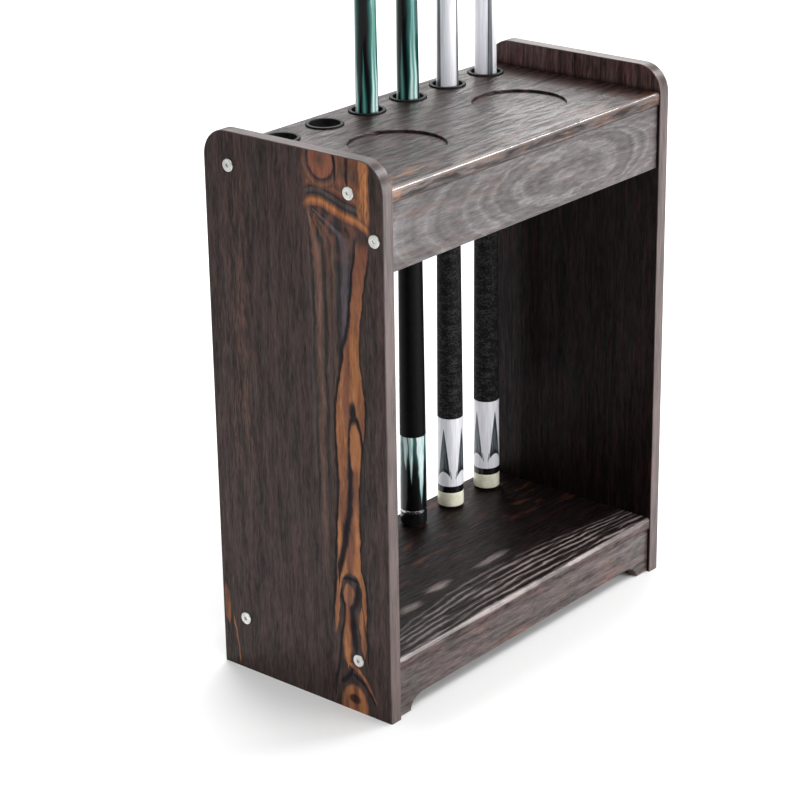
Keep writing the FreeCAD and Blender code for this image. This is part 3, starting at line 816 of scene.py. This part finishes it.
# Colours from the middle of a black band, 0, to halfway to the next one, 1.
TEAL_BANDS = (
    (0, NIGHT), (0.38, NIGHT), (0.46, TEAL_DEEP), (0.6, TEAL), (0.8, rgb(48, 102, 96)),
    (0.94, TEAL_PALE), (1, TEAL),
)
SLIM_FLAME_TOP = 0.585
WIDE_FLAME_TOP = 0.6


def teal_forearm_paint():
    """Three black bands between teal ones, with slim flames in the black and wide ones beside."""
    paint = Paint("teal_forearm", 0.3)
    turn, height = paint.around()
    sway = (paint.noise(turn * 4, height / 0.045, 1, 1) - 0.5) * 0.07
    share = beside(turn + sway, 3, 0.77)
    colour = paint.bands(share, TEAL_BANDS)
    slim = (SLIM_FLAME_TOP - height).highest(0).power(0.8) * 2.6
    colour = flame(paint, colour, share, slim, TEAL_PALE, TEAL)
    wide = (WIDE_FLAME_TOP - height).highest(0) * 3.6
    colour = flame(paint, colour, (share - 0.8).size(), wide, FLAME_WHITE, TEAL_PALE)
    paint.set("Base Color", colour)
    gloss_coat(paint, 0.3)
    return paint.material


PEARL = rgb(224, 224, 232)
PEARL_BRIGHT = rgb(244, 244, 250)
SPEAR_GREY = rgb(96, 106, 110)
SPEAR_DARK = rgb(30, 34, 40)
SPEARS_CLOSE = 0.9          # height at which the forearm's spears would come to a point


def pearl_base(paint, turn, height):
    streaks = paint.noise(turn * 60, height / 0.05, 0, 2)
    return paint.blend(streaks.step(0.3, 0.7), PEARL, PEARL_BRIGHT)


def spear_offset(turn, count, shift):
    """Turns from the middle of the nearest of count spears."""
    return (((turn * count + shift).fraction() - 0.5) / count).size()


def white_sleeve_paint(bottom, top):
    """Pearl white with dark spears that stand on swallow-tailed feet."""
    paint = Paint("white_sleeve", 0.3)
    turn, height = paint.around()
    offset = spear_offset(turn, 4, 0.41)
    rise = (height - bottom) / (top - bottom)
    half_width = (0.87 - rise).highest(0).power(0.85) * 0.112
    foot = rise - 0.21 + (offset / 0.08).square() * 0.07
    inside = (half_width - offset).step(0, 0.006) * foot.step(0, 0.012)
    rim = (half_width - offset).step(0.022, 0.004).highest(foot.step(0.09, 0.03))
    tails = (offset - 0.086 - (0.2 - rise) * 0.14).line(0.009)
    tails = tails * rise.step(0.1, 0.13) * rise.step(0.26, 0.2)
    streaks = paint.noise(turn * 50, height / 0.03, 2, 2).step(0.4, 0.6)
    middle = paint.blend(streaks, rgb(52, 58, 62), SPEAR_GREY)
    spear = paint.blend(rim, middle, SPEAR_DARK)
    body = paint.blend(inside.highest(tails), pearl_base(paint, turn, height), spear)
    paint.set("Base Color", body)
    gloss_coat(paint)
    return paint.material


def white_forearm_paint():
    """Pearl white with long dark points that narrow towards the joint."""
    paint = Paint("white_forearm", 0.3)
    turn, height = paint.around()
    offset = spear_offset(turn, 3, 0.1)
    half_width = (SPEARS_CLOSE - height) * 0.12
    inside = (half_width - offset).step(0, 0.01)
    streaks = paint.noise(turn * 50, height / 0.06, 1, 2).step(0.45, 0.6)
    spear = paint.blend(streaks * (half_width * 0.7 - offset).step(0, 0.01), SPEAR_DARK, SPEAR_GREY)
    haze = paint.noise(turn * 9, height / 0.2, 4, 2).step(0.42, 0.6) * 0.5
    pearl = paint.blend(haze, pearl_base(paint, turn, height), rgb(170, 174, 184))
    paint.set("Base Color", paint.blend(inside * 0.94, pearl, spear))
    gloss_coat(paint)
    return paint.material


# ---- Turned cue pieces ----

TURNED_SIDES = 96
DOME_STEPS = 8              # from the tip's rim to its crown
SHARP_ANGLE = math.radians(35)


def butt_radius(height):
    """The butt's outer radius, as in the CAD model."""
    stations = (
        (BUMPER_HEIGHT, BUTT_RADIUS),
        (HANDLE_HEIGHT, HANDLE_RADIUS),
        (WRAP_TOP, WRAP_TOP_RADIUS),
        (JOINT_HEIGHT, JOINT_RADIUS),
    )
    for (low, low_radius), (high, high_radius) in zip(stations, stations[1:]):
        if height <= high:
            return low_radius + (high_radius - low_radius) * (height - low) / (high - low)
    return JOINT_RADIUS


def turned(name, outline, origin):
    """A solid of revolution from a closed loop of (radius, height) points."""
    mesh = bpy.data.meshes.new(name)
    shape = bmesh.new()
    rings = []
    for radius, height in outline:
        if radius == 0:
            rings.append([shape.verts.new((0, 0, height))] * TURNED_SIDES)
            continue
        ring = []
        for side in range(TURNED_SIDES):
            angle = 2 * math.pi * side / TURNED_SIDES
            spot = (radius * math.cos(angle), radius * math.sin(angle), height)
            ring.append(shape.verts.new(spot))
        rings.append(ring)
    for low, high in zip(rings, rings[1:] + rings[:1]):
        for side in range(TURNED_SIDES):
            following = (side + 1) % TURNED_SIDES
            corners = [low[side], low[following], high[following], high[side]]
            corners = list(dict.fromkeys(corners))
            if len(corners) > 2:
                shape.faces.new(corners)
    bmesh.ops.recalc_face_normals(shape, faces=shape.faces)
    shape.to_mesh(mesh)
    shape.free()
    mesh.polygons.foreach_set("use_smooth", [True] * len(mesh.polygons))
    mesh.set_sharp_from_angle(angle=SHARP_ANGLE)
    piece = bpy.data.objects.new(name, mesh)
    piece.location = origin
    bpy.context.scene.collection.objects.link(piece)
    return piece


def eased(corners, ease=0.0004):
    """The outline with each corner cut back by a small chamfer; corners on the axis stay."""
    points = []
    for before, corner, after in zip(corners[-1:] + corners[:-1], corners, corners[1:] + corners[:1]):
        if corner[0] == 0:
            points.append(corner)
            continue
        for neighbour in (before, after):
            gap = math.dist(corner, neighbour)
            share = min(ease / gap, 0.4)
            points.append(tuple(c + (n - c) * share for c, n in zip(corner, neighbour)))
    return points


# How far the second cue of each kind is turned about its axis against the first, so that the
# two don't show the same side; its forearm has a turn of its own.
CUE_TWIST = {"teal_cue_2": math.radians(-16), "white_cue_2": math.radians(-18)}
FOREARM_TWIST = {"teal_cue_2": math.radians(-16), "white_cue_2": math.radians(-45)}


def add_turned(cue, piece, outline, body, finishes):
    """Adds a turned piece that stands for the cue's CAD node of the same name."""
    slot_name, material = finishes[piece]
    solid = turned(f"{cue}_{piece}_turned", eased(outline), cue_foot(cue))
    twists = FOREARM_TWIST if piece == "forearm" else CUE_TWIST
    solid.rotation_euler.z = twists.get(cue, 0)
    solid.data.materials.append(material)
    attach(solid, f"{cue}_{body}")
    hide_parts(f"{cue}_{piece}")


def tube_outline(bottom, top):
    """A ring of the butt, round its bore."""
    outside = [(butt_radius(bottom), bottom), (butt_radius(top), top)]
    return [(BUTT_BORE, bottom)] + outside + [(BUTT_BORE, top)]


def add_butt(cue, finishes):
    """Bumper, cap, ring, sleeve, wrap and forearm."""
    ring_bottom, ring_top = cue_span(cue, "cap_ring")
    sleeve_bottom, sleeve_top = cue_span(cue, "butt_sleeve")
    cap_edge = 0.0008
    outlines = {
        "bumper": [
            (0, BUMPER_DIMPLE_DEPTH), (BUMPER_DIMPLE_RADIUS - 0.001, BUMPER_DIMPLE_DEPTH),
            (BUMPER_DIMPLE_RADIUS, 0), (BUMPER_FOOT_RADIUS, 0), (0.0126, 0.0012),
            (BUMPER_RADIUS, BUMPER_HEIGHT - 0.0008), (BUMPER_RADIUS, BUMPER_HEIGHT),
            (0, BUMPER_HEIGHT),
        ],
        "butt_cap": [
            (CAP_BORE, BUMPER_HEIGHT), (BUTT_RADIUS - cap_edge, BUMPER_HEIGHT),
            (BUTT_RADIUS, BUMPER_HEIGHT + cap_edge), (butt_radius(ring_bottom), ring_bottom),
            (CAP_BORE, ring_bottom),
        ],
        "cap_ring": tube_outline(ring_bottom, ring_top),
        "butt_sleeve": tube_outline(sleeve_bottom, sleeve_top),
        "wrap": tube_outline(sleeve_top, WRAP_TOP),
        "forearm": [
            (BUTT_BORE, WRAP_TOP), (WRAP_TOP_RADIUS, WRAP_TOP), (JOINT_RADIUS, JOINT_HEIGHT),
            (PIN_BORE, JOINT_HEIGHT), (PIN_BORE, JOINT_HEIGHT - 0.01),
            (BUTT_BORE * 0.9, WRAP_TOP + 0.01),
        ],
    }
    for piece, outline in outlines.items():
        add_turned(cue, piece, outline, "butt", finishes)


def add_shaft(cue, finishes):
    """Collar, tapered shaft, ferrule and tip."""
    add_turned(cue, "shaft_collar", [
        (COLLAR_BORE, JOINT_HEIGHT), (JOINT_RADIUS, JOINT_HEIGHT),
        (SHAFT_BUTT_RADIUS, COLLAR_TOP), (COLLAR_BORE, COLLAR_TOP),
    ], "collar", finishes)
    seat = COLLAR_TOP + SHAFT_CLEARANCE
    brim = CUE_LENGTH - TIP_DOME
    dome = []
    for step in range(DOME_STEPS):
        slope = math.pi / 2 * step / DOME_STEPS
        dome.append((TIP_RADIUS * math.cos(slope), brim + TIP_DOME * math.sin(slope)))
    outlines = {
        "shaft": [
            (PIN_BORE, JOINT_HEIGHT), (SPIGOT_RADIUS, JOINT_HEIGHT), (SPIGOT_RADIUS, seat),
            (SHAFT_BUTT_RADIUS, seat), (SHAFT_MIDDLE_RADIUS, SHAFT_MIDDLE),
            (SHAFT_THIN_RADIUS, SHAFT_THIN), (TIP_RADIUS, FERRULE_BOTTOM), (0, FERRULE_BOTTOM),
            (0, JOINT_HEIGHT + PIN_REACH), (PIN_BORE, JOINT_HEIGHT + PIN_REACH),
        ],
        "ferrule": [
            (0, FERRULE_BOTTOM), (TIP_RADIUS, FERRULE_BOTTOM), (TIP_RADIUS, TIP_BOTTOM),
            (0, TIP_BOTTOM),
        ],
        "tip": [(0, TIP_BOTTOM), (TIP_RADIUS, TIP_BOTTOM)] + dome + [(0, CUE_LENGTH)],
    }
    for piece, outline in outlines.items():
        add_turned(cue, piece, outline, "shaft", finishes)


def tip_paint():
    """Pressed brown leather whose crown is rubbed with blue chalk."""
    paint = Paint("tip_leather", 0.8)
    x, y, z = paint.place()
    layers = paint.noise(x / 0.003, y / 0.003, z / 0.0003, 2)
    grit = paint.speckle(0.0006)
    hide = paint.blend(layers.step(0.3, 0.7), rgb(92, 62, 40), rgb(132, 94, 62))
    chalk = z.step(CUE_LENGTH - TIP_DOME, CUE_LENGTH - 0.001) * (grit * 0.6 + 0.5)
    paint.set("Base Color", paint.blend(chalk, hide, rgb(70, 120, 160)))
    paint.relief(grit, 0.0002)
    return paint.material


def dress_cues():
    """Adds the cues. A piece's finish is a material slot of the record and a material."""
    shared = {
        "bumper": ("bumper_rubber", moulded_paint("bumper_rubber", rgb(20, 20, 21), 0.6, 0.0004)),
        "shaft_collar": ("black_ring", moulded_paint("shaft_collar", rgb(12, 12, 13), 0.16, 0.003)),
        "shaft": ("maple", maple_paint()),
        "ferrule": ("ferrule_white", moulded_paint("ferrule_white", rgb(238, 235, 224), 0.25, 0.002)),
        "tip": ("tip_leather", tip_paint()),
    }
    teal = {
        "butt_cap": ("black_cap", moulded_paint("black_cap", rgb(13, 13, 15), 0.14, 0.003)),
        "cap_ring": ("silver_ring", brushed_paint("silver_ring", rgb(222, 224, 228), 0.2)),
        "butt_sleeve": ("teal_lacquer", teal_sleeve_paint(*cue_span(TEAL_CUES[0], "butt_sleeve"))),
        "forearm": ("teal_lacquer", teal_forearm_paint()),
        "wrap": ("leather_wrap", leather_paint()),
    }
    white = {
        "butt_cap": ("cream_cap", moulded_paint("cream_cap", rgb(236, 232, 206), 0.22, 0.002)),
        "cap_ring": ("black_ring", moulded_paint("black_ring", rgb(11, 11, 12), 0.12, 0.003)),
        "butt_sleeve": ("white_lacquer", white_sleeve_paint(*cue_span(WHITE_CUES[0], "butt_sleeve"))),
        "forearm": ("white_lacquer", white_forearm_paint()),
        "wrap": ("linen_wrap", linen_paint()),
    }
    for cues, own in ((TEAL_CUES, teal), (WHITE_CUES, white)):
        finishes = {**shared, **own}
        for cue in cues:
            add_butt(cue, finishes)
            add_shaft(cue, finishes)


def dress(node, material):
    """Gives a CAD node its finish."""
    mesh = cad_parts[node].data
    mesh.materials.clear()
    mesh.materials.append(material)


def dress_rack():
    dress("left_side_panel", left_panel_paint())
    dress("right_side_panel", right_panel_paint())
    dress("panel_edge_bands", edge_band_paint())
    dress("top_board", top_board_paint())
    dress("bottom_shelf", shelf_paint())
    dress("front_apron", apron_paint())
    dress("kick_board", kick_board_paint())
    dress("cue_hole_grommets", moulded_paint("grommet_plastic", rgb(5, 5, 6), 0.5, 0.002, 0.2))
    screw_finish = brushed_paint("screw_steel", rgb(226, 226, 222), 0.3)
    dress("left_panel_screws", screw_finish)
    dress("right_panel_screws", screw_finish)
    beech = beech_paint()
    dress("apron_dowels", beech)
    dress("kick_board_dowels", beech)
    steel = brushed_paint("pin_steel", rgb(196, 190, 176), 0.25)
    for cue in TEAL_CUES + WHITE_CUES:
        dress(cue + "_joint_pin", steel)
        dress(cue + "_weight_bolt", steel)


# ---- Studio ----

CAMERA_PLACE = (-1.9913, -1.6166, 1.2771)
CAMERA_LENS = 113.86
CAMERA_TURN = math.radians(40.221)      # of the view's direction from +X towards +Y
CAMERA_DIP = math.radians(21.673)
CAMERA_ROLL = math.radians(-0.912)
CAMERA_SENSOR = 36
SKY_STRENGTH = 0.4
FLOOR_REACH = 30
FLOOR_GREY = (0.88, 0.88, 0.88)


def camera_axes():
    """The camera's right, up and backward directions."""
    right = Vector((math.sin(CAMERA_TURN), -math.cos(CAMERA_TURN), 0))
    level = Vector((math.cos(CAMERA_TURN), math.sin(CAMERA_TURN), 0))
    forward = level * math.cos(CAMERA_DIP) - Vector((0, 0, math.sin(CAMERA_DIP)))
    up = right.cross(forward)
    tilted_right = right * math.cos(CAMERA_ROLL) + up * math.sin(CAMERA_ROLL)
    tilted_up = up * math.cos(CAMERA_ROLL) - right * math.sin(CAMERA_ROLL)
    return tilted_right, tilted_up, -forward


def add_camera():
    data = bpy.data.cameras.new("camera")
    data.lens = CAMERA_LENS
    data.sensor_width = CAMERA_SENSOR
    data.clip_end = 100
    camera = bpy.data.objects.new("camera", data)
    turn = Matrix(camera_axes()).transposed().to_4x4()
    camera.matrix_world = Matrix.Translation(CAMERA_PLACE) @ turn
    bpy.context.scene.collection.objects.link(camera)
    bpy.context.scene.camera = camera


def add_softbox(name, place, target, width, height, power):
    """A rectangular lamp of so many watts that shines from place towards target."""
    data = bpy.data.lights.new(name, "AREA")
    data.shape = "RECTANGLE"
    data.size = width
    data.size_y = height
    data.energy = power
    light = bpy.data.objects.new(name, data)
    light.location = place
    light.rotation_mode = "QUATERNION"
    light.rotation_quaternion = (Vector(target) - Vector(place)).to_track_quat("-Z", "Y")
    light.visible_camera = False
    bpy.context.scene.collection.objects.link(light)


def add_floor():
    mesh = bpy.data.meshes.new("floor")
    reach = FLOOR_REACH
    corners = [(-reach, -reach, 0), (reach, -reach, 0), (reach, reach, 0), (-reach, reach, 0)]
    mesh.from_pydata(corners, [], [(0, 1, 2, 3)])
    floor = bpy.data.objects.new("floor", mesh)
    bpy.context.scene.collection.objects.link(floor)
    paint = Paint("floor", 0.9, specular_ior_level=0.1)
    paint.set("Base Color", FLOOR_GREY)
    mesh.materials.append(paint.material)


def add_studio():
    scene = bpy.context.scene
    scene.view_settings.view_transform = "Standard"
    world = bpy.data.worlds.new("studio")
    world.use_nodes = True
    sky = world.node_tree.nodes["Background"]
    sky.inputs["Color"].default_value = (1, 1, 1, 1)
    sky.inputs["Strength"].default_value = SKY_STRENGTH
    scene.world = world
    add_floor()
    add_softbox("backdrop", (3.0, 3.2, 4.0), (2.6, 2.8, 0), 4.0, 4.0, 300)
    add_softbox("overhead", (-0.1, 0.6, 3.2), (0, 0.2, 0), 2.6, 2.6, 30)
    add_softbox("front", (0.85, -2.2, 0.6), (0.1, -0.1, 0.3), 1.6, 0.9, 54)
    add_softbox("edge_light", (1.9, -1.0, 2.15), (0, -0.1, 0.55), 0.9, 0.5, 34)
    add_softbox("floor_fill", (-1.4, -1.5, 3.0), (-1.0, -1.1, 0), 2.0, 2.0, 36)
    add_softbox("rear_right", (1.0, 0.42, 0.95), (0.1, 0, 0.572), 0.6, 0.35, 1.3)


dress_rack()
dress_cues()
add_camera()
add_studio()
